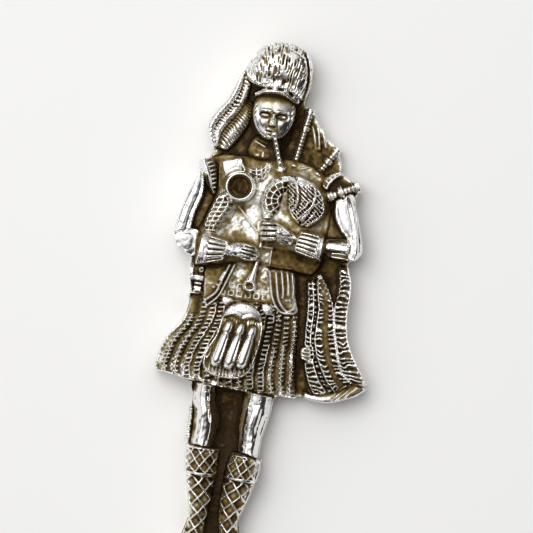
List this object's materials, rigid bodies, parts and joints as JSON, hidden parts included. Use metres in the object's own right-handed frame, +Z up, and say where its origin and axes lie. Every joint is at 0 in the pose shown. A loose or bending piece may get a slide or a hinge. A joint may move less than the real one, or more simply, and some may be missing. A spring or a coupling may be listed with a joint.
{
  "type": "souvenir spoon",
  "caption": "Collector's souvenir spoon: bright cast bagpiper in high relief as the handle, flat back, arched stem and plain egg-shaped bowl",
  "frame": {"origin": "on the flat back of the handle, at the figure's waist, on the line between the legs", "axes": "+X across the spoon to the right of the figure as seen from the front, +Y along the spoon towards the bonnet, +Z up out of the front of the figure; the spoon lies on its flat back"},
  "size_m": [0.0257, 0.118, 0.0072],
  "materials": {
    "cast_silver": "bright plated casting, polished on the high places, brown patina left in the recesses",
    "dark_patina": "matt brown patina over the plated casting, mottled",
    "polished_silver": "smooth bright polish"
  },
  "bodies": {
    "root": {"backing": "dark_patina", "feather_bonnet": "cast_silver", "diced_band": "cast_silver", "head": "cast_silver", "collar": "dark_patina", "plume_outer": "cast_silver", "plume_middle": "cast_silver", "plume_inner": "cast_silver", "jacket": "cast_silver", "drone_web": "dark_patina", "wing_left": "cast_silver", "wing_right": "cast_silver", "shoulder_right": "dark_patina", "shoulder_strap": "cast_silver", "plaid_upper": "cast_silver", "plaid_sash": "cast_silver", "brooch": "cast_silver", "bag_body": "cast_silver", "bag_neck": "cast_silver", "blowpipe": "cast_silver", "drone_inner": "cast_silver", "drone_outer": "cast_silver", "drone_bass": "cast_silver", "drone_ribbons": "cast_silver", "chanter": "cast_silver", "upper_arm_left": "cast_silver", "forearm_left": "cast_silver", "cuff_left": "cast_silver", "hand_left": "cast_silver", "upper_arm_right": "cast_silver", "forearm_right": "cast_silver", "cuff_right": "cast_silver", "hand_right": "cast_silver", "apron": "dark_patina", "flap_left": "cast_silver", "flap_right": "cast_silver", "coat_skirt": "cast_silver", "dirk": "cast_silver", "kilt": "cast_silver", "sporran": "cast_silver", "sporran_cantle": "cast_silver", "sporran_tassels": "cast_silver", "sporran_strap": "cast_silver", "fly_plaid_outer": "cast_silver", "fly_plaid_middle": "cast_silver", "fly_plaid_inner": "cast_silver", "fly_plaid_hem": "cast_silver", "plaid_flash": "cast_silver", "knees": "cast_silver", "sgian_dubh": "cast_silver", "hose_tops": "cast_silver", "hose": "cast_silver", "shoes": "cast_silver", "plinth": "cast_silver", "stem": "polished_silver", "bowl": "polished_silver"}
  },
  "joints": []
}
